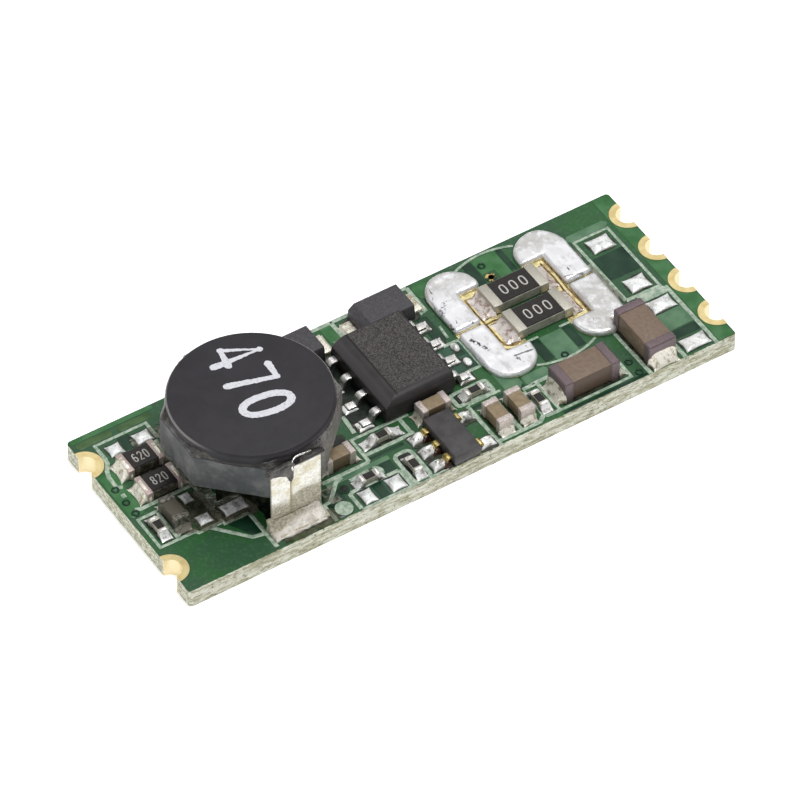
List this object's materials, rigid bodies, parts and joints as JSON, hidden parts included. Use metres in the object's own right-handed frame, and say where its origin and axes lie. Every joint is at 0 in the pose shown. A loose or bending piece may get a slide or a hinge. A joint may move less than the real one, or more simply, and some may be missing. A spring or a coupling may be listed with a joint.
{
  "type": "led driver module",
  "caption": "Open-frame LED driver: narrow circuit board with plated edge notches, shielded power inductor, driver IC, diodes and chip parts.",
  "frame": {"origin": "centre of the board's underside", "axes": "+X along the board towards the end with four edge pads, +Y across it, +Z out of the component side"},
  "size_m": [0.0304, 0.011, 0.0056],
  "materials": {
    "board_laminate": "green solder mask over glass laminate",
    "gold_plate": "thin gold plating",
    "drum_ferrite": "matte dark ferrite",
    "shield_ferrite": "grey sintered ferrite",
    "enamelled_copper": "enamelled wire",
    "bonding_resin": "cured resin",
    "tinned_strip": "tinned copper strip",
    "tinned_lead": "tinned lead frame",
    "gold_lead": "gold plated lead frame",
    "solder": "bright tin solder",
    "driver_mould": "matte mould compound",
    "amplifier_mould": "smooth mould compound",
    "diode_mould": "matte mould compound",
    "alumina": "fired alumina",
    "overcoat_glass": "black glass overcoat",
    "end_cap": "plated end",
    "small_capacitor_ceramic": "tan ceramic",
    "power_capacitor_ceramic": "brown ceramic"
  },
  "bodies": {
    "root": {"circuit_board": "board_laminate", "castellated_pads": "gold_plate", "via_eyelets": "gold_plate", "inductor_core": "drum_ferrite", "inductor_winding": "enamelled_copper", "inductor_shield": "shield_ferrite", "inductor_resin": "bonding_resin", "inductor_terminals": "tinned_strip", "inductor_solder": "solder", "driver_body": "driver_mould", "driver_leads": "tinned_lead", "driver_solder": "solder", "amplifier_body": "amplifier_mould", "amplifier_leads": "gold_lead", "amplifier_solder": "solder", "diode_bodies": "diode_mould", "diode_tabs": "tinned_lead", "diode_solder": "solder", "link_ceramics": "alumina", "link_end_caps": "end_cap", "link_overcoats": "overcoat_glass", "link_solder": "solder", "link_lands": "gold_plate", "land_solder": "solder", "sense_ceramics": "alumina", "sense_end_caps": "end_cap", "sense_overcoats": "overcoat_glass", "sense_solder": "solder", "small_resistor_ceramics": "alumina", "small_resistor_end_caps": "end_cap", "small_resistor_overcoats": "overcoat_glass", "small_resistor_solder": "solder", "small_capacitor_bodies": "small_capacitor_ceramic", "small_capacitor_end_caps": "end_cap", "small_capacitor_solder": "solder", "power_capacitor_bodies": "power_capacitor_ceramic", "power_capacitor_end_caps": "end_cap", "power_capacitor_solder": "solder", "bare_pad_solder": "solder"}
  },
  "joints": []
}
